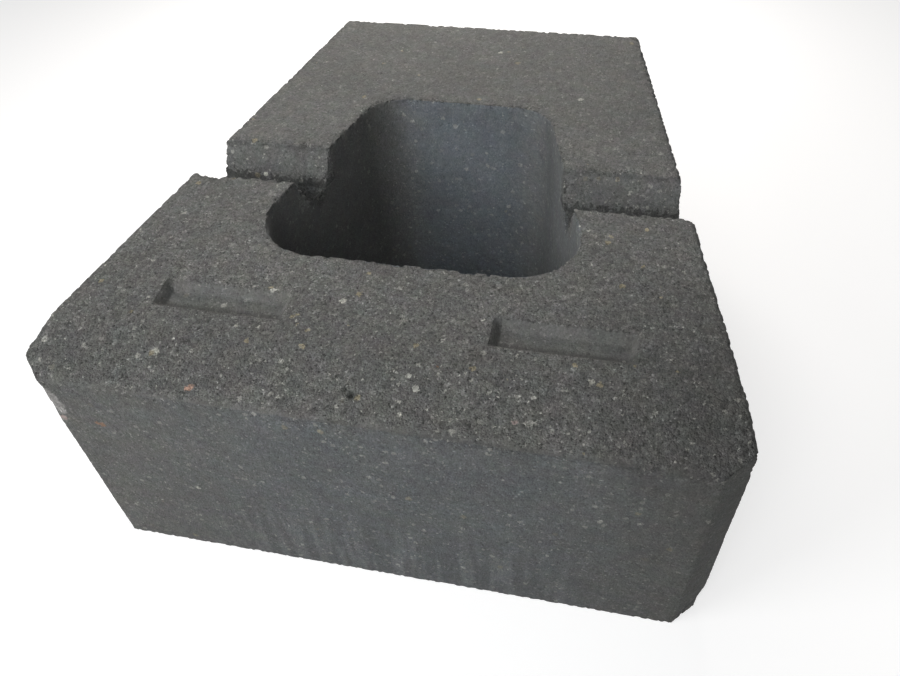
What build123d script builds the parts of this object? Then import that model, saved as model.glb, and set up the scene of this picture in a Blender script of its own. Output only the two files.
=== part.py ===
"""One retaining-wall block of dry-cast concrete, moulded in one piece with this side up.

The plan is a trapezoid, wide at the face and narrow at the back. A core with rounded corners goes
right through it, a groove with sloped walls crosses the top from side to side, two shallow pockets
lie in the top in front of the core, and one long bevel slopes down to the face.

Millimetres, +Z up. The origin is under the middle of the block, on the ground. The face is at -Y.
"""

import os
from math import isclose

from build123d import *

os.makedirs("parts", exist_ok=True)

# The block's outline, seen from above, and its height
face_width = 457.0
back_width = 276.0
depth = 457.0
height = 203.0

# The two upright corners of the face are cut off at 45 degrees
corner_chamfer = 18.0

# The long bevel along the top of the face
bevel_run = 45.0
bevel_drop = 12.5

# The edge between the top and each side is broken by the mould
side_arris = 3.0

# The core: the concrete left in front of it, its own size at the top, and its corners
front_wall = 128.0
core_length = 198.0
core_front_width = 252.0
core_back_width = 143.0
core_front_radius = 42.0
core_back_radius = 34.0
core_draft_angle = 0.7

# The groove across the top, its front edge measured from the face
groove_setback = 204.0
groove_top_width = 46.0
groove_floor_width = 20.0
groove_depth = 30.0
groove_fillet = 7.0

# The two pockets in the top, their front edge measured from the face
pocket_setback = 65.0
pocket_spacing = 225.0
pocket_length = 90.0
pocket_width = 24.0
pocket_depth = 7.0
pocket_wall_run = 5.0

front = -depth / 2
back = depth / 2


def body():
    """The plain block: a trapezoid in plan with its two face corners cut off."""
    half_face = face_width / 2
    half_back = back_width / 2
    outline = Polyline(
        (-half_face + corner_chamfer, front),
        (half_face - corner_chamfer, front),
        (half_face, front + corner_chamfer),
        (half_back, back),
        (-half_back, back),
        (-half_face, front + corner_chamfer),
        close=True,
    )
    return extrude(make_face(outline), height)


def bevel():
    """The wedge that is taken off along the top of the face."""
    section = Plane.YZ * Polyline(
        (front, height - bevel_drop),
        (front + bevel_run, height),
        (front, height),
        close=True,
    )
    return extrude(make_face(section), face_width / 2, both=True)


def is_on_side(point):
    """Whether a point lies on one of the two sides, which run straight from the face to the back."""
    side_run = depth - corner_chamfer
    half_width = (back_width + (face_width - back_width) * (back - point.Y) / side_run) / 2
    return isclose(abs(point.X), half_width, abs_tol=0.01)


def break_side_edges(block):
    """Chamfers the edges where the top and the bevel meet the two sides."""
    side_edges = [
        edge
        for edge in block.edges()
        if edge.center().Z > height - bevel_drop and all(is_on_side(v) for v in edge.vertices())
    ]
    return chamfer(side_edges, side_arris)


def core():
    """The core, cut from the top down; it narrows slightly towards the base."""
    core_front = front + front_wall
    core_back = core_front + core_length
    outline = make_face(
        Polyline(
            (-core_front_width / 2, core_front),
            (core_front_width / 2, core_front),
            (core_back_width / 2, core_back),
            (-core_back_width / 2, core_back),
            close=True,
        )
    )
    outline = fillet(outline.vertices().sort_by(Axis.Y)[:2], core_front_radius)
    outline = fillet(outline.vertices().sort_by(Axis.Y)[-2:], core_back_radius)
    return extrude(Plane.XY.offset(height) * outline, height, dir=(0, 0, -1), taper=core_draft_angle)


def groove():
    """The groove, a trapezoid in section, with its two floor corners rounded."""
    middle = front + groove_setback + groove_top_width / 2
    section = make_face(
        Polyline(
            (middle - groove_top_width / 2, height),
            (middle + groove_top_width / 2, height),
            (middle + groove_floor_width / 2, height - groove_depth),
            (middle - groove_floor_width / 2, height - groove_depth),
            close=True,
        )
    )
    floor_corners = section.vertices().sort_by(Axis.Y)[:2]
    section = fillet(floor_corners, groove_fillet)
    return extrude(Plane.YZ * section, face_width / 2, both=True)


def pocket(side):
    """One pocket, a shallow tray with four sloped walls; side is -1 for the left and 1 for the right."""
    middle = (side * pocket_spacing / 2, front + pocket_setback + pocket_width / 2)
    mouth = Plane.XY.offset(height) * Pos(*middle) * Rectangle(pocket_length, pocket_width)
    floor = Plane.XY.offset(height - pocket_depth) * Pos(*middle) * Rectangle(
        pocket_length - 2 * pocket_wall_run, pocket_width - 2 * pocket_wall_run
    )
    return loft([floor, mouth])


block = body() - bevel()
block = break_side_edges(block)
block = block - core() - groove() - pocket(-1) - pocket(1)

export_step(block, "parts/concrete_block.step")
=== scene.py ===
"""A retaining-wall block of dark dry-cast concrete: its gritty skin, its worn edges, and the light on it.

Metres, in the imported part's own frame: +Z up, the wide face at -Y, the base on the ground.
"""

from math import radians

import bmesh
import bpy
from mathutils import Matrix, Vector, kdtree, noise


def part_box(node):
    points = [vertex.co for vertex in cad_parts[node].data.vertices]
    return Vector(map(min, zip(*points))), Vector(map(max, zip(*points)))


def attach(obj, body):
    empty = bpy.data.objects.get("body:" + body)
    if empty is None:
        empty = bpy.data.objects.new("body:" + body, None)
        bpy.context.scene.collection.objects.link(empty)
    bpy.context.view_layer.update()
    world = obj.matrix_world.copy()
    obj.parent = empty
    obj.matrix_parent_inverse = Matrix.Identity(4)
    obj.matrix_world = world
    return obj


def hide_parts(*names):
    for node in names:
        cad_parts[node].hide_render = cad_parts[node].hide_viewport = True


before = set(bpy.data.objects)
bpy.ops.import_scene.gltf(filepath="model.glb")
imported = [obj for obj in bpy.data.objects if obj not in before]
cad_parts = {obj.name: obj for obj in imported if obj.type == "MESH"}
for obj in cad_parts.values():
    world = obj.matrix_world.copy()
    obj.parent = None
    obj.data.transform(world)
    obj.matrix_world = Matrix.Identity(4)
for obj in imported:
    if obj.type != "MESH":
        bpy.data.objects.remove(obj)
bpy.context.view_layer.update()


# The block: one casting of stiff, nearly dry concrete, rammed into a steel mould with this side up.
# The mould left its walls close and smooth, the struck top and the bevel stayed open and gritty, and
# every arris crumbled a little when the block was pushed out green, and since then.

block_low, block_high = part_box("concrete_block")
top = block_high.z
front = block_low.y
back = block_high.y
half_face = block_high.x

# What of the casting its skin has to know: the cut corners, the bevel, the core, the groove and the pockets
corner_chamfer = 0.018
bevel_run = 0.045
bevel_drop = 0.0125
front_wall = 0.128
core_length = 0.198
core_half_front = 0.126
core_half_back = 0.0715
groove_setback = 0.204
groove_width = 0.046
groove_depth = 0.030
pocket_setback = 0.065
pocket_width = 0.024
pocket_length = 0.090
pocket_depth = 0.007
pocket_spacing = 0.225

core_front = front + front_wall
core_back = core_front + core_length
groove_front = front + groove_setback
groove_back = groove_front + groove_width
pockets_end = (pocket_spacing + pocket_length) / 2

# Bounds that tell the surfaces apart: where the arrises of the top start, how far back the pockets' part of
# the top goes, and how near a place has to be to count as on a surface
upper_zone = top - bevel_drop - 0.02
pocket_zone = core_front - 0.02
slack = 0.001
top_slack = 0.0006
bevel_slack = 0.0008

# How far in from an arris it has crumbled, and how deep each kind of arris has
crumble_reach = 0.0060
rear_arris = 0.0046
core_rim = 0.0026
groove_arris = 0.0020
pocket_rim = 0.0002
side_arris = 0.0015
bevel_arris = 0.0005
upright_arris = 0.0003
base_arris = 0.0009

# Sizes of what has gone and of what still stands along an arris, in millimetres
crumble_wave = 11.0
crumble_break = 2.0
crumb_size = 4.0

# Where more has broken off than elsewhere: the place, the way it was pushed in, how far that reaches, how
# deep it goes, how ragged it is and how much painted shade darkens the hollow
left_arris = -half_face + corner_chamfer
broken_places = [
    ((-0.1080, 0.0010, 0.1730), (-1.0, 0.0, -1.0), 0.018, 0.0036, 1.0, 0.50),
    ((0.0983, -0.0015, 0.1730), (1.0, 0.0, -1.0), 0.014, 0.0035, 1.0, 0.40),
    ((-0.1720, groove_front, top), (0.0, -1.0, -1.0), 0.014, 0.0025, 1.0, 0.20),
    ((half_face, front + corner_chamfer, 0.0), (-1.0, 0.0, 0.0), 0.036, 0.0030, 0.0, 0.0),
    ((left_arris, front, 0.1760), (1.0, 0.8, 0.0), 0.011, 0.0012, 0.6, 0.0),
    ((left_arris, front, 0.1620), (1.0, 0.8, 0.0), 0.011, 0.0014, 0.6, 0.0),
    ((-0.0078, -0.2098, 0.1958), (0.2, 0.3, -1.0), 0.0032, 0.0030, 0.6, 0.60),
    ((-0.0125, -0.2072, 0.1970), (0.2, 0.3, -1.0), 0.0024, 0.0016, 0.6, 0.55),
]

# Relief of the struck top: rounded grains, pits between them, and a slow waviness
grain_size = 0.0034
grain_relief = 0.0007
pit_spacing = 0.0100
pit_depth = 0.0011
top_wave = 0.0006
wall_wave = 0.0004
wave_length = 0.05

# How much of its grain each surface shows, from a skin of close paste at 0 to bare grains at 1
grain_at_rear = 0.55
grain_at_front = 0.98
grain_on_bevel = 1.0
grain_in_groove = 0.62
grain_in_core = 0.38
grain_on_walls = 0.50
grain_in_pockets = 0.45
grain_where_broken = 0.85
loss_that_bares = 0.0008

# How pale each surface is beside the struck top, and how bluish its grey, which is painted sheen
bevel_tone = 1.07
groove_tone = 1.27
# The core's walls are drawn paler, partly for their smooth skin and partly as painted light; its left wall
# darker, as painted shade
core_tone = 1.42
core_left_shade = 0.88
wall_tone = 1.09
groove_sheen_blue = 0.1
core_sheen_blue = 1.0
wall_sheen_blue = 0.45

# The right end of the front is drawn darker, painted shade where the light falls off; the top around the
# core is paler
painted_shade_on_top = 0.26
painted_shade_at_corner = 0.16
painted_shade_on_face = 0.12
painted_shade_on_chamfer = 0.30
pale_middle = 0.19

skin_voxel = 0.0011
most_triangles = 195000


def whole_copy(packed):
    """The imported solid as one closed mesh: its loose triangles joined, its flat faces made whole."""
    solid = bmesh.new()
    solid.from_mesh(packed.data)
    bmesh.ops.remove_doubles(solid, verts=solid.verts, dist=0.00001)
    bmesh.ops.dissolve_limit(solid, angle_limit=radians(1), verts=solid.verts, edges=solid.edges)
    return solid


def crumble_of(place):
    """How deep the arris at this place has crumbled."""
    if place.z < slack:
        return base_arris
    if place.z < upper_zone:
        return upright_arris
    if place.y > back - slack:
        return rear_arris
    if place.y < front + slack:
        return bevel_arris
    if core_front - slack < place.y < core_back + slack and abs(place.x) < core_half_front + slack:
        return core_rim
    if groove_front - slack < place.y < groove_back + slack:
        return groove_arris
    if place.y < pocket_zone and abs(place.x) < pockets_end + 0.0025:
        return pocket_rim
    return side_arris


def arris_points(solid, spacing=0.0015):
    """Points along every outward corner of the casting, each with the depth it has crumbled to."""
    places = []
    for edge in solid.edges:
        if not edge.is_manifold or not edge.is_convex or edge.calc_face_angle() < radians(22):
            continue
        start, end = (v.co for v in edge.verts)
        steps = max(1, round((end - start).length / spacing))
        places += [start.lerp(end, step / steps) for step in range(steps + 1)]
    tree = kdtree.KDTree(len(places))
    for number, place in enumerate(places):
        tree.insert(place, number)
    tree.balance()
    return tree, [crumble_of(place) for place in places]


def remeshed(solid, name):
    """The casting with an even, fine skin of small faces that the relief can shape."""
    mesh = bpy.data.meshes.new(name)
    solid.to_mesh(mesh)
    rough = bpy.data.objects.new(name, mesh)
    bpy.context.scene.collection.objects.link(rough)
    skin = rough.modifiers.new("even skin", "REMESH")
    skin.mode = "VOXEL"
    skin.voxel_size = skin_voxel
    fine = bpy.data.meshes.new_from_object(rough.evaluated_get(bpy.context.evaluated_depsgraph_get()))
    rough.modifiers.clear()
    rough.data = fine
    return rough


def ease(value, start, end):
    """Rises smoothly from 0 to 1 as a value goes from start to end."""
    share = max(0.0, min(1.0, (value - start) / (end - start)))
    return share * share * (3 - 2 * share)


def surface_of(place):
    """Which surface of the casting a place lies on."""
    if place.z > top - top_slack:
        return "top"
    above_bevel = place.z - (top - bevel_drop * (1 - (place.y - front) / bevel_run))
    if abs(above_bevel) < bevel_slack and place.y < front + bevel_run:
        return "bevel"
    by_pockets = front + slack < place.y < pocket_zone and abs(place.x) < pockets_end + 0.0075
    if by_pockets and place.z > top - pocket_depth - 0.0015:
        return "pocket"
    under_groove = top - groove_depth - slack
    if core_front - slack < place.y < core_back + slack and abs(place.x) < core_half_front + 0.0015:
        if place.z < under_groove or not is_in_groove(place):
            return "core"
    return "groove" if is_in_groove(place) and place.z > under_groove else "wall"


def half_core_at(place):
    """Half the width of the core at a place's distance from the face."""
    return core_half_front - (core_half_front - core_half_back) * (place.y - core_front) / core_length


def is_in_groove(place):
    """Whether a place lies between the two mouths of the groove, outside the core."""
    between_edges = groove_front - slack < place.y < groove_back + slack
    return between_edges and abs(place.x) > half_core_at(place) - slack / 2


def over_lip(place, surface):
    """How far the face's skin of paste has given way to bare grains, from the face up to the bevel."""
    ragged = 0.004 * noise.noise(place / 0.013) + 0.002 * noise.noise(place / 0.004)
    if surface == "bevel":
        return ease(place.y - front + ragged, -0.001, 0.006)
    if surface == "wall" and place.y < front + slack:
        return 0.5 * ease(place.z + 2 * ragged, top - bevel_drop - 0.011, top - bevel_drop)
    return 0.0


def shown_grain(place, surface):
    """How bare the grains are at a place."""
    if surface in ("bevel", "wall"):
        return grain_on_walls + (grain_on_bevel - grain_on_walls) * over_lip(place, surface)
    if surface == "top":
        return grain_at_rear + (grain_at_front - grain_at_rear) * ease(-place.y, -0.16, 0.15)
    return {"pocket": grain_in_pockets, "groove": grain_in_groove, "core": grain_in_core}[surface]


def tone_and_shade_of(place, surface):
    """How pale the paste is at a place, beside the struck top, with painted shade towards the right of the
    front.
    """
    if surface in ("top", "bevel", "pocket"):
        # Painted shade, deepening towards the right end of the top's front
        right_end_shade = painted_shade_on_top * ease(place.x, 0.09, 0.20) * ease(-place.y, 0.03, 0.13)
        right_end_shade += painted_shade_at_corner * ease(place.x, 0.16, 0.21) * ease(-place.y, 0.12, 0.20)
        middle = ease(place.y, -0.20, -0.11) * ease(-place.y, -0.15, 0.0)
        return (bevel_tone if surface == "bevel" else 1.0) * (1 - right_end_shade) * (1 + pale_middle * middle)
    if surface == "wall":
        # Painted shade across the face and the right chamfer, deepening to the right
        right_end_shade = painted_shade_on_face * ease(place.x, 0.0, 0.18)
        right_end_shade += painted_shade_on_chamfer * ease(place.x, 0.12, 0.216) * (0.45 + 0.55 * ease(place.z, 0.02, 0.18))
        return wall_tone * (1 - right_end_shade)
    if surface == "groove":
        return groove_tone
    # The core's left wall, turned from the light, darkens: painted shade
    to_left = ease(-place.x / half_core_at(place), 0.60, 1.0)
    return core_tone + (core_left_shade - core_tone) * to_left


def painted_sheen_of(place, surface):
    """How far the grey of a surface is drawn bluish: painted sheen of the sky light on the smooth walls."""
    if surface == "core":
        across = place.x / half_core_at(place)
        return core_sheen_blue * ease(across, -1.1, -0.3) * (1 - 0.6 * ease(across, 0.5, 0.95))
    if surface == "wall":
        return wall_sheen_blue * ease(place.x, -0.20, -0.03) * (1 - ease(place.x, 0.10, 0.21))
    return groove_sheen_blue if surface == "groove" else 0.0


def crumbled(place, depth):
    """How much is gone at a place by an arris: all but the grains that still stand up along it."""
    at = place * 1000
    gone = 0.7 + 0.5 * noise.noise(at / crumble_wave) + 0.4 * noise.noise(at / crumble_break)
    standing = ease(noise.noise(at / crumb_size), -0.04, 0.12)
    return depth * max(0.0, gone) * (1 - 0.9 * standing)


def broken_off(place):
    """Where more has broken off: which way and how far a place is pushed in, and its painted shade."""
    gone = Vector()
    hollow_shade = 0.0
    for centre, way, reach, depth, rough, dark in broken_places:
        distance = (place - Vector(centre)).length
        if distance < reach:
            teeth = 0.5 * noise.noise(place * 1000 / 4.5) + 0.3 * noise.noise(place * 1000 / 2.1)
            near = ease(distance, reach, 0.3 * reach)
            push = depth * max(0.0, 0.8 + rough * teeth) * near
            if push > gone.length:
                gone = Vector(way).normalized() * push
                hollow_shade = dark * min(1.0, 1.6 * near * max(0.0, 0.8 + rough * teeth))
    return gone, hollow_shade


def grit(place, shown):
    """The relief of a surface that shows its grains: domes with hollows between them, and some pits."""
    grains, _ = noise.voronoi(place / grain_size)
    hollow = min(1.0, grains[0] * 1.4) ** 2
    fine = 0.5 + 0.5 * noise.noise(place * 1000 / 1.8)
    depth = grain_relief * (0.5 * hollow + 0.5 * fine)
    pits, centres = noise.voronoi(place / pit_spacing)
    if noise.cell(centres[0] * 37) > 0.3:
        ragged = pits[0] + 0.10 * noise.noise(place * 1000 / 1.3)
        depth += pit_depth * max(0.0, 1 - (ragged / 0.14) ** 2)
    return shown * shown * depth


def weather(rough, arrises, depths):
    """Presses every point of the skin inwards, and notes how bare and how pale it is, painted shade
    included, and its painted sheen.
    """
    mesh = rough.data
    grain_shown = mesh.attributes.new("grain_shown", "FLOAT", "POINT").data
    tone = mesh.attributes.new("tone", "FLOAT", "POINT").data
    sheen_blue = mesh.attributes.new("sheen_blue", "FLOAT", "POINT").data
    for vertex, normal in zip(mesh.vertices, mesh.vertex_normals):
        place = vertex.co.copy()
        _, number, distance = arrises.find(place)
        worn = 0.0
        if distance < crumble_reach:
            share = (1 - distance / crumble_reach) ** 1.5
            worn = share * crumbled(place, depths[number])
        broken, hollow_shade = broken_off(place)
        surface = surface_of(place)
        shown = shown_grain(place, surface)
        relief = 0.0
        if place.z > slack:
            wave = wall_wave if surface in ("wall", "core", "groove") else top_wave
            relief = grit(place, shown) + wave * (0.5 + 0.5 * noise.noise(place / wave_length))
        vertex.co = place - Vector(normal.vector) * (worn + relief) + broken
        point = vertex.index
        bared = min(1.0, (worn + broken.length) / loss_that_bares)
        grain_shown[point].value = max(shown, grain_where_broken * bared)
        # The tone carries painted shade: towards the right of the front, on the core's left wall, in the
        # broken hollows
        tone[point].value = tone_and_shade_of(place, surface) * (1 - hollow_shade)
        sheen_blue[point].value = painted_sheen_of(place, surface)


def thinned(rough, most):
    """The same skin with its triangles spent where the relief needs them."""
    rough.data.calc_loop_triangles()
    share = most / len(rough.data.loop_triangles)
    if share < 1:
        fewer = rough.modifiers.new("fewer faces", "DECIMATE")
        fewer.ratio = share
        fine = bpy.data.meshes.new_from_object(rough.evaluated_get(bpy.context.evaluated_depsgraph_get()))
        rough.modifiers.clear()
        rough.data = fine


casting = whole_copy(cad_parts["concrete_block"])
arrises, arris_depths = arris_points(casting)
block = remeshed(casting, "weathered_block")
casting.free()
weather(block, arrises, arris_depths)
thinned(block, most_triangles)

# Thinning can leave a point just under the ground
for vertex in block.data.vertices:
    vertex.co.z = max(0.0, vertex.co.z)
for face in block.data.polygons:
    face.use_smooth = True


# The finish of the block: cement paste darkened all through, over grey, white, tan and a few rusty grains.
# The open top shows the grains bare, the moulded walls show them through a thin skin of paste.

# Linear colours
paste_open = (0.121, 0.122, 0.117)
# A bluish grey for painted sheen of the sky light on the smooth walls
paste_sheen_blue = (0.105, 0.118, 0.129)
pale_grain = (0.340, 0.340, 0.310)
tan_grain = (0.270, 0.240, 0.165)
rust_grain = (0.250, 0.150, 0.100)
brick_grain = (0.470, 0.300, 0.230)
pink_grain = (0.330, 0.265, 0.250)
white_grain = (0.440, 0.440, 0.390)
pit_shadow = (0.040, 0.040, 0.038)
bare_stone = (0.340, 0.330, 0.320)

# Tones of single grains, as shares of the paste's own, from the darkest to the palest; spacings in mm
sand_spacing = 1.25
sand_tones = ((0.0, 0.35), (0.08, 0.72), (0.3, 0.90), (0.7, 1.03), (0.95, 1.20), (0.99, 1.50), (1.0, 2.40))
gravel_spacing = 3.3
gravel_tones = ((0.0, 0.72), (0.2, 0.90), (0.8, 1.08), (1.0, 1.30))
dust_size = 0.9
dust_contrast = 1.1
# How much painted shade darkens the crevices between the gravel
crevice_shade = 0.30
tint_patch = 13.0
tint_strength = 0.14
patch_size = 55.0
blotch_size = 9.0

# The finest relief, as shares of the bump's own distance (m), and the sheen of the dry surface
dome_height = 0.40
dust_height = 0.5
bump_distance = 0.0014
concrete_roughness = 0.9
concrete_specular = 0.35

# Grains that stand apart, in layers: how far apart they could be, the share of those places that hold one,
# the smallest and the largest radius (mm), and the colour
stray_layers = (
    (3.2, 0.65, 0.35, 0.95, pale_grain),
    (6.5, 0.50, 0.7, 1.8, pale_grain),
    (12.0, 0.18, 1.0, 2.4, tan_grain),
    (10.0, 0.45, 1.1, 2.5, pale_grain),
    (9.0, 0.30, 0.8, 1.6, pit_shadow),
)

# The few grains large enough to be told apart: where each lies, how far it reaches (mm), and its colour.
# Most were pointed out in pixels, and a scratch script turned those into places with the camera below.
big_grains = [
    ((-179.8, -228.3, 150.0), 2.8, rust_grain),
    ((-183.4, -228.3, 150.6), 2.2, rust_grain),
    ((-108.6, -219.2, 193.0), 2.7, brick_grain),
    ((-110.8, -220.0, 192.8), 2.0, brick_grain),
    ((91.8, -212.6, 194.8), 2.1, pink_grain),
    ((132.2, -57.7, 203.0), 2.6, tan_grain),
    ((-32.1, -140.6, 203.0), 3.0, white_grain),
    ((-139.5, -199.4, 198.6), 3.4, white_grain),
    ((-141.5, -200.4, 198.4), 2.4, tan_grain),
    ((132.6, -181.3, 203.0), 2.6, white_grain),
    ((137.4, -182.8, 203.0), 2.6, tan_grain),
    ((112.2, -191.6, 203.0), 2.2, white_grain),
    ((106.4, -18.5, 203.0), 1.6, white_grain),
    ((40.6, -184.4, 203.0), 1.5, rust_grain),
    ((-55.7, -166.1, 203.0), 1.6, tan_grain),
    ((169.2, -191.4, 203.0), 2.2, pink_grain),
    ((-3.2, -210.9, 195.2), 2.6, tan_grain),
    ((-70.2, -155.0, 196.0), 1.5, white_grain),
    ((-60.6, -159.8, 203.0), 1.9, tan_grain),
    ((-57.8, -157.6, 203.0), 1.9, tan_grain),
    ((-112.8, -151.4, 196.0), 2.8, pale_grain),
    ((-80.7, -138.6, 202.0), 2.1, pale_grain),
    ((-93.7, -173.2, 203.0), 2.2, white_grain),
    ((-79.3, -171.8, 203.0), 1.6, white_grain),
    ((215.6, -180.6, 203.0), 2.6, pale_grain),
    ((199.1, -192.8, 203.0), 2.2, pale_grain),
    ((189.3, -214.2, 194.5), 1.6, white_grain),
    ((191.0, -210.0, 195.6), 1.7, pale_grain),
    ((222.2, -205.2, 197.0), 1.4, white_grain),
    ((24.0, -217.4, 193.6), 1.8, white_grain),
    ((56.9, -222.9, 192.1), 2.4, pale_grain),
    ((-14.5, -218.5, 193.3), 1.9, pale_grain),
    ((65.7, -169.7, 203.0), 2.4, pale_grain),
    ((18.5, 183.3, 203.0), 2.4, white_grain),
    ((96.5, 116.5, 203.0), 2.8, pale_grain),
    ((-84.9, 97.0, 203.0), 2.4, tan_grain),
    ((-147.0, 11.4, 179.0), 2.2, white_grain),
    ((209.6, -228.3, 144.6), 1.9, pale_grain),
    ((-130.5, -228.3, 85.6), 2.2, white_grain),
    ((148.1, -228.3, 126.1), 2.4, pale_grain),
    ((-208.4, -227.8, 178.0), 4.0, bare_stone),
    ((-207.6, -227.8, 172.5), 6.0, bare_stone),
    ((-206.6, -227.8, 166.0), 6.5, bare_stone),
    ((-206.4, -227.8, 159.5), 5.0, bare_stone),
    ((-207.5, -227.8, 151.5), 3.2, pink_grain),
]

# Pale upright streaks low on the face, where the mould dragged as it was lifted (mm)
streak_width = 7.0
streak_length = 90.0
streak_strength = 0.36
streak_middle = 15.0

# Where shade is painted: the pockets' left ends and near edges, under the groove's far rim and along its
# foot; and where a dark line runs along the top of the face (mm)
pocket_near = 1000 * (front + pocket_setback)
pocket_far = pocket_near + 1000 * pocket_width
pocket_left = -1000 * pockets_end
pocket_pitch = 1000 * pocket_spacing
pocket_reach = 1000 * pocket_length
groove_far = 1000 * groove_back
groove_floor = 1000 * (top - groove_depth)
face_at = 1000 * front
rim_height = 200.2
foot_height = 177.5
foot_raggedness = 18.0
lip_height = 187.0
end_dark = 0.42
crease_dark = 0.34
rim_dark = 0.26
foot_dark = 0.52
lip_dark = 0.20


def add(tree, kind, inputs=None, **settings):
    """Adds a node, sets its options, and fills or links its inputs."""
    node = tree.nodes.new(kind)
    for name, value in settings.items():
        setattr(node, name, value)
    for name, value in (inputs or {}).items():
        if isinstance(value, bpy.types.NodeSocket):
            tree.links.new(value, node.inputs[name])
        else:
            node.inputs[name].default_value = value
    return node


def sums(tree, operation, first, second):
    """One step of arithmetic on two numbers."""
    return add(tree, "ShaderNodeMath", {0: first, 1: second}, operation=operation).outputs[0]


def spread(tree, value, low, high, to_low=0.0, to_high=1.0):
    """Stretches the part of a value from low to high smoothly over another range."""
    inputs = {"Value": value, "From Min": low, "From Max": high, "To Min": to_low, "To Max": to_high}
    return add(tree, "ShaderNodeMapRange", inputs, interpolation_type="SMOOTHSTEP").outputs[0]


def blended(tree, share, first, second, blend="MIX"):
    """One colour laid over another."""
    mix = tree.nodes.new("ShaderNodeMix")
    mix.data_type = "RGBA"
    mix.blend_type = blend
    for socket, value in ((mix.inputs[0], share), (mix.inputs[6], first), (mix.inputs[7], second)):
        if isinstance(value, bpy.types.NodeSocket):
            tree.links.new(value, socket)
        elif isinstance(value, tuple):
            socket.default_value = (*value, 1.0)
        else:
            socket.default_value = value
    return mix.outputs[2]


def around_one(tree, value, share):
    """Draws a tone towards 1, so that a share of 0 hides it and a share of 1 keeps it."""
    return sums(tree, "ADD", 1.0, sums(tree, "MULTIPLY", sums(tree, "SUBTRACT", value, 1.0), share))


def toned(tree, value, tones):
    """Reads a grain's tone off a row of stops."""
    node = add(tree, "ShaderNodeValToRGB", {0: value})
    stops = node.color_ramp.elements
    for number, (place, tone) in enumerate(tones):
        stop = stops[number] if number < 2 else stops.new(place)
        stop.position = place
        stop.color = (tone, tone, tone, 1.0)
    return node.outputs[0]


def noise_of(tree, place, size, detail=3.0, roughness=0.6):
    """Cloudy noise whose lumps are about size millimetres across."""
    inputs = {"Vector": place, "Scale": 1 / size, "Detail": detail, "Roughness": roughness}
    return add(tree, "ShaderNodeTexNoise", inputs).outputs[0]


def packed_grains(tree, place, spacing):
    """Grains side by side: a random number for each, a dome over each, and the crevices between them."""
    inputs = {"Vector": place, "Scale": 1 / spacing, "Randomness": 1.0}
    cells = add(tree, "ShaderNodeTexVoronoi", inputs)
    chance = add(tree, "ShaderNodeSeparateColor", {"Color": cells.outputs["Color"]}).outputs[0]
    dome = spread(tree, cells.outputs["Distance"], 0.75, 0.0)
    edges = add(tree, "ShaderNodeTexVoronoi", inputs, feature="DISTANCE_TO_EDGE")
    crevice = spread(tree, edges.outputs["Distance"], 0.16, 0.0)
    return chance, dome, crevice


def stray_grains(tree, place, spacing, share, small, large):
    """Grains that stand apart: a mask of them, and a random number for each."""
    cells = add(tree, "ShaderNodeTexVoronoi", {"Vector": place, "Scale": 1 / spacing, "Randomness": 1.0})
    parts = add(tree, "ShaderNodeSeparateColor", {"Color": cells.outputs["Color"]})
    chosen = sums(tree, "LESS_THAN", parts.outputs[0], share)
    radius = spread(tree, parts.outputs[1], 0.0, 1.0, small / spacing, large / spacing)
    inside = sums(tree, "SUBTRACT", radius, cells.outputs["Distance"])
    mask = spread(tree, inside, 0.0, 0.3 * small / spacing)
    return sums(tree, "MULTIPLY", mask, chosen), parts.outputs[2]


def all_of(tree, *masks):
    """Where every one of some masks holds."""
    both = masks[0]
    for mask in masks[1:]:
        both = sums(tree, "MULTIPLY", both, mask)
    return both


def streaks(tree, place):
    """How much paler the streaks make the foot of the face."""
    x, y, z = add(tree, "ShaderNodeSeparateXYZ", {0: place}).outputs
    stretch = {0: place, 1: (1 / streak_width, 0.0, 1 / streak_length)}
    drawn = add(tree, "ShaderNodeVectorMath", stretch, operation="MULTIPLY").outputs[0]
    bands = spread(tree, noise_of(tree, drawn, 1.0, 1.0), 0.40, 0.66)
    bands = sums(tree, "SUBTRACT", bands, 0.35)
    from_middle = sums(tree, "ABSOLUTE", sums(tree, "SUBTRACT", x, streak_middle), 0.0)
    window = all_of(
        tree,
        spread(tree, from_middle, 175.0, 90.0),
        spread(tree, z, 110.0, 20.0),
        spread(tree, y, face_at + 4, face_at + 1.5),
    )
    paler = sums(tree, "MULTIPLY", sums(tree, "MULTIPLY", bands, window), streak_strength)
    return sums(tree, "ADD", 1.0, paler)


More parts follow.
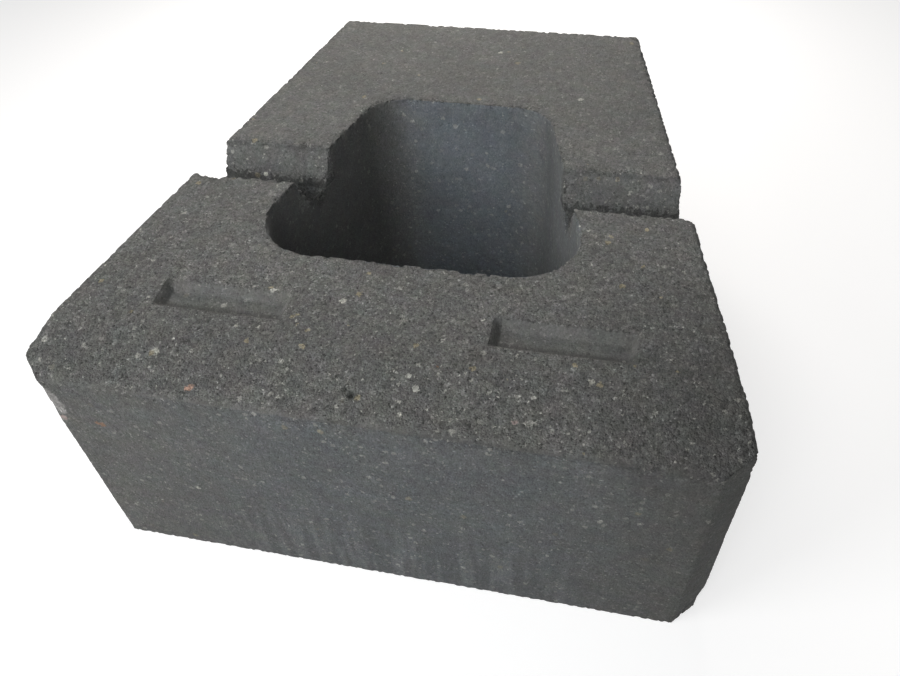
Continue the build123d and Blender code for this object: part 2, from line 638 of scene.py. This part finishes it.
def painted_crease_shade(tree, place, ragged):
    """Painted shade in the creases: the two pockets, under the groove's rim and at its foot; a dark line
    over the face.
    """
    x, y, z = add(tree, "ShaderNodeSeparateXYZ", {0: place}).outputs
    # Painted shade at each pocket's left end and along its near edge
    along = sums(tree, "FLOORED_MODULO", sums(tree, "SUBTRACT", x, pocket_left), pocket_pitch)
    inside = all_of(
        tree,
        spread(tree, along, pocket_reach + 1, pocket_reach - 1),
        spread(tree, y, pocket_near - 0.4, pocket_near + 0.4),
        spread(tree, y, pocket_far + 0.4, pocket_far - 0.4),
        spread(tree, z, 190.0, 191.0),
    )
    end = sums(tree, "MULTIPLY", spread(tree, along, 6.0, 4.6), end_dark)
    crease = sums(tree, "MULTIPLY", spread(tree, y, pocket_near + 11, pocket_near + 6.5), crease_dark)
    dark = all_of(tree, inside, sums(tree, "MAXIMUM", end, crease))

    # Painted shade under the groove's far rim and along its foot
    far_wall = all_of(
        tree,
        spread(tree, y, groove_far - 14.5, groove_far - 13.5),
        spread(tree, y, groove_far + 1, groove_far),
        spread(tree, z, groove_floor - 1, groove_floor),
    )
    from_rim = sums(tree, "ABSOLUTE", sums(tree, "SUBTRACT", z, rim_height), 0.0)
    patchy = spread(tree, noise_of(tree, place, 16.0), 0.40, 0.58, 0.25, 1.0)
    rim = all_of(tree, far_wall, spread(tree, from_rim, 2.0, 0.4), patchy)
    dark = sums(tree, "MAXIMUM", dark, sums(tree, "MULTIPLY", rim, rim_dark))
    uneven_edge = sums(tree, "MULTIPLY", sums(tree, "SUBTRACT", ragged, 0.5), foot_raggedness)
    teeth = sums(tree, "ADD", z, uneven_edge)
    teeth = sums(tree, "SUBTRACT", teeth, spread(tree, x, -145.0, -165.0, 0.0, 2.0))
    foot = all_of(tree, far_wall, spread(tree, teeth, foot_height + 0.9, foot_height - 0.9))
    dark = sums(tree, "MAXIMUM", dark, sums(tree, "MULTIPLY", foot, foot_dark))

    on_face = spread(tree, y, face_at + 3, face_at + 1)
    at_lip = spread(tree, z, lip_height - 1.5, lip_height + 1.5)
    line = all_of(tree, on_face, at_lip, spread(tree, x, -70.0, 60.0))
    dark = sums(tree, "MAXIMUM", dark, sums(tree, "MULTIPLY", line, lip_dark))
    return sums(tree, "SUBTRACT", 1.0, dark)


def concrete():
    """The whole finish, with its painted shade and sheen, read from the block's own coordinates in
    millimetres.
    """
    material = bpy.data.materials.new("dry_cast_concrete")
    material.use_nodes = True
    tree = material.node_tree
    tree.nodes.clear()
    metres = add(tree, "ShaderNodeTexCoord").outputs["Object"]
    scale = {0: metres, "Scale": 1000.0}
    place = add(tree, "ShaderNodeVectorMath", scale, operation="SCALE").outputs[0]
    wobble = add(tree, "ShaderNodeTexNoise", {"Vector": place, "Scale": 0.6, "Detail": 2.0}).outputs["Color"]
    centred = {0: wobble, 1: (0.5, 0.5, 0.5)}
    shift = add(tree, "ShaderNodeVectorMath", centred, operation="SUBTRACT").outputs[0]
    push = add(tree, "ShaderNodeVectorMath", {0: shift, "Scale": 4.0}, operation="SCALE").outputs[0]
    uneven = add(tree, "ShaderNodeVectorMath", {0: place, 1: push}, operation="ADD").outputs[0]
    shown = add(tree, "ShaderNodeAttribute", attribute_name="grain_shown").outputs["Fac"]
    tone = add(tree, "ShaderNodeAttribute", attribute_name="tone").outputs["Fac"]
    sheen_blue = add(tree, "ShaderNodeAttribute", attribute_name="sheen_blue").outputs["Fac"]

    # The tone: painted shade noted on the skin, patches of the paste, then gravel, sand and dust, and
    # painted shade in the crevices and creases
    sand, sand_dome, _ = packed_grains(tree, place, sand_spacing)
    gravel, gravel_dome, gravel_gap = packed_grains(tree, uneven, gravel_spacing)
    dust = noise_of(tree, place, dust_size, 2.0)
    patches = spread(tree, noise_of(tree, place, patch_size, 2.0), 0.3, 0.7, 0.94, 1.06)
    blotches = spread(tree, noise_of(tree, place, blotch_size, 2.0), 0.3, 0.7, 0.95, 1.05)
    shade = sums(tree, "MULTIPLY", tone, patches)
    shade = sums(tree, "MULTIPLY", shade, blotches)
    shade = sums(tree, "MULTIPLY", shade, around_one(tree, toned(tree, sand, sand_tones), shown))
    shade = sums(tree, "MULTIPLY", shade, around_one(tree, toned(tree, gravel, gravel_tones), shown))
    dusty = sums(tree, "ADD", 1.0 - dust_contrast / 2, sums(tree, "MULTIPLY", dust, dust_contrast))
    shade = sums(tree, "MULTIPLY", shade, around_one(tree, dusty, shown))
    # Painted shade in the crevices between the gravel
    gaps = sums(tree, "SUBTRACT", 1.0, sums(tree, "MULTIPLY", gravel_gap, crevice_shade))
    shade = sums(tree, "MULTIPLY", shade, around_one(tree, gaps, shown))
    shade = sums(tree, "MULTIPLY", shade, streaks(tree, place))
    shade = sums(tree, "MULTIPLY", shade, painted_crease_shade(tree, place, noise_of(tree, place, 3.0, 1.0)))

    # The colour: paste drawn bluish where sheen is painted, with faint patches of tint, and the grains that
    # stand out
    colour = blended(tree, sheen_blue, paste_open, paste_sheen_blue)
    tints = add(tree, "ShaderNodeTexNoise", {"Vector": place, "Scale": 1 / tint_patch}).outputs["Color"]
    tints = add(
        tree,
        "ShaderNodeVectorMath",
        {0: tints, 1: (tint_strength,) * 3, 2: (1 - tint_strength / 2,) * 3},
        operation="MULTIPLY_ADD",
    ).outputs[0]
    colour = blended(tree, 1.0, colour, tints, "MULTIPLY")
    seldom = spread(tree, shown, 0.2, 1.0, 0.3, 1.0)
    for spacing, share, small, large, tint in stray_layers:
        mask, chance = stray_grains(tree, uneven, spacing, share, small, large)
        strength = sums(tree, "MULTIPLY", spread(tree, chance, 0.0, 1.0, 0.12, 0.95), seldom)
        colour = blended(tree, sums(tree, "MULTIPLY", mask, strength), colour, tint)
    for centre, reach, tint in big_grains:
        ends = {0: uneven, 1: centre}
        away = add(tree, "ShaderNodeVectorMath", ends, operation="DISTANCE").outputs["Value"]
        colour = blended(tree, spread(tree, away, reach, 0.6 * reach, 0.0, 0.85), colour, tint)
    grey = add(tree, "ShaderNodeCombineColor", {0: shade, 1: shade, 2: shade}).outputs[0]
    colour = blended(tree, 1.0, colour, grey, "MULTIPLY")

    # The finest relief: the domes of sand and gravel, and the dust over them
    sand_height = sums(tree, "MULTIPLY", sand_dome, dome_height)
    gravel_height = sums(tree, "MULTIPLY", gravel_dome, dome_height)
    height = sums(tree, "ADD", sand_height, gravel_height)
    height = sums(tree, "ADD", height, sums(tree, "MULTIPLY", dust, dust_height))
    height = sums(tree, "MULTIPLY", height, shown)
    relief = {"Height": height, "Distance": bump_distance, "Strength": 1.0}
    bump = add(tree, "ShaderNodeBump", relief).outputs[0]

    look = {
        "Base Color": colour,
        "Roughness": concrete_roughness,
        "Normal": bump,
        "Specular IOR Level": concrete_specular,
    }
    surface = add(tree, "ShaderNodeBsdfPrincipled", look)
    add(tree, "ShaderNodeOutputMaterial", {"Surface": surface.outputs[0]})
    return material


block.data.materials.clear()
block.data.materials.append(concrete())
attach(block, "root")
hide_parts("concrete_block")


# The floor: a plain pale sweep that throws a little light back at the block. The camera sees it white,
# with the block's own soft shadow on it.

floor_half = 3.0
floor_seen = (0.60, 0.60, 0.60)
floor_lift = 0.58
floor_bounce = (0.45, 0.45, 0.45)


def pale_floor():
    """Diffuse for the block, and lifted to white for the camera, so that only the shadow shows."""
    material = bpy.data.materials.new("pale_floor")
    material.use_nodes = True
    tree = material.node_tree
    tree.nodes.clear()
    paths = add(tree, "ShaderNodeLightPath").outputs
    seen = sums(tree, "MAXIMUM", paths["Is Camera Ray"], paths["Is Glossy Ray"])
    colour = blended(tree, seen, floor_bounce, floor_seen)
    matte = add(tree, "ShaderNodeBsdfDiffuse", {"Color": colour}).outputs[0]
    lift = add(tree, "ShaderNodeEmission", {"Strength": sums(tree, "MULTIPLY", seen, floor_lift)}).outputs[0]
    both = add(tree, "ShaderNodeAddShader", {0: matte, 1: lift}).outputs[0]
    add(tree, "ShaderNodeOutputMaterial", {"Surface": both})
    return material


plane = bmesh.new()
bmesh.ops.create_grid(plane, x_segments=1, y_segments=1, size=floor_half)
floor_mesh = bpy.data.meshes.new("floor")
plane.to_mesh(floor_mesh)
plane.free()
floor_mesh.materials.append(pale_floor())
floor = bpy.data.objects.new("floor", floor_mesh)
bpy.context.scene.collection.objects.link(floor)


# The light: two soft lamps over the face and its left end, a small one close above the front, and one
# behind the block, low over its narrow end. The room itself adds a little.

room_light = (0.90, 0.95, 1.0, 1.0)
room_strength = 0.07


def soft_light(name, place, width, power, tint=(1.0, 1.0, 1.0)):
    """A square lamp at a place, facing the block."""
    lamp = bpy.data.lights.new(name, "AREA")
    lamp.shape = "SQUARE"
    lamp.size = width
    lamp.energy = power
    lamp.color = tint
    holder = bpy.data.objects.new(name, lamp)
    holder.location = place
    holder.rotation_euler = (Vector((0.0, 0.0, 0.15)) - Vector(place)).to_track_quat("-Z", "Y").to_euler()
    holder.visible_camera = False
    bpy.context.scene.collection.objects.link(holder)


soft_light("over_face", (0.0, -1.4, 1.0), 1.0, 9.4)
soft_light("over_left_end", (-0.7, -0.7, 0.8), 0.5, 5.4)
soft_light("over_front", (0.0, -0.7, 1.0), 0.5, 2.2)
soft_light("behind", (-0.15, 0.7, 0.6), 0.5, 6.1, (1.0, 0.95, 0.90))

world = bpy.data.worlds.new("room")
bpy.context.scene.world = world
world.use_nodes = True
room = world.node_tree
room.nodes.clear()
rays = add(room, "ShaderNodeLightPath").outputs
mirrored = sums(room, "MAXIMUM", rays["Is Glossy Ray"], rays["Is Transmission Ray"])
white_to = sums(room, "MAXIMUM", rays["Is Camera Ray"], mirrored)
dim = add(room, "ShaderNodeBackground", {"Color": room_light, "Strength": room_strength}).outputs[0]
white = add(room, "ShaderNodeBackground", {"Color": (1.0, 1.0, 1.0, 1.0), "Strength": 1.0}).outputs[0]
sky = add(room, "ShaderNodeMixShader", {0: white_to, 1: dim, 2: white}).outputs[0]
add(room, "ShaderNodeOutputWorld", {"Surface": sky})


# The camera: held close above the right half of the face, looking down across the block, so that the
# block's corners fall where they are seen to.

eye = bpy.data.cameras.new("eye")
eye.lens = 32.95
eye.sensor_width = 36.0
eye.clip_start = 0.01
camera = bpy.data.objects.new("camera", eye)
camera.location = (0.1297, -0.4925, 0.5817)
camera.rotation_euler = (radians(42.00), radians(2.58), radians(11.74))
bpy.context.scene.collection.objects.link(camera)
bpy.context.scene.camera = camera

bpy.context.scene.view_settings.view_transform = "Standard"
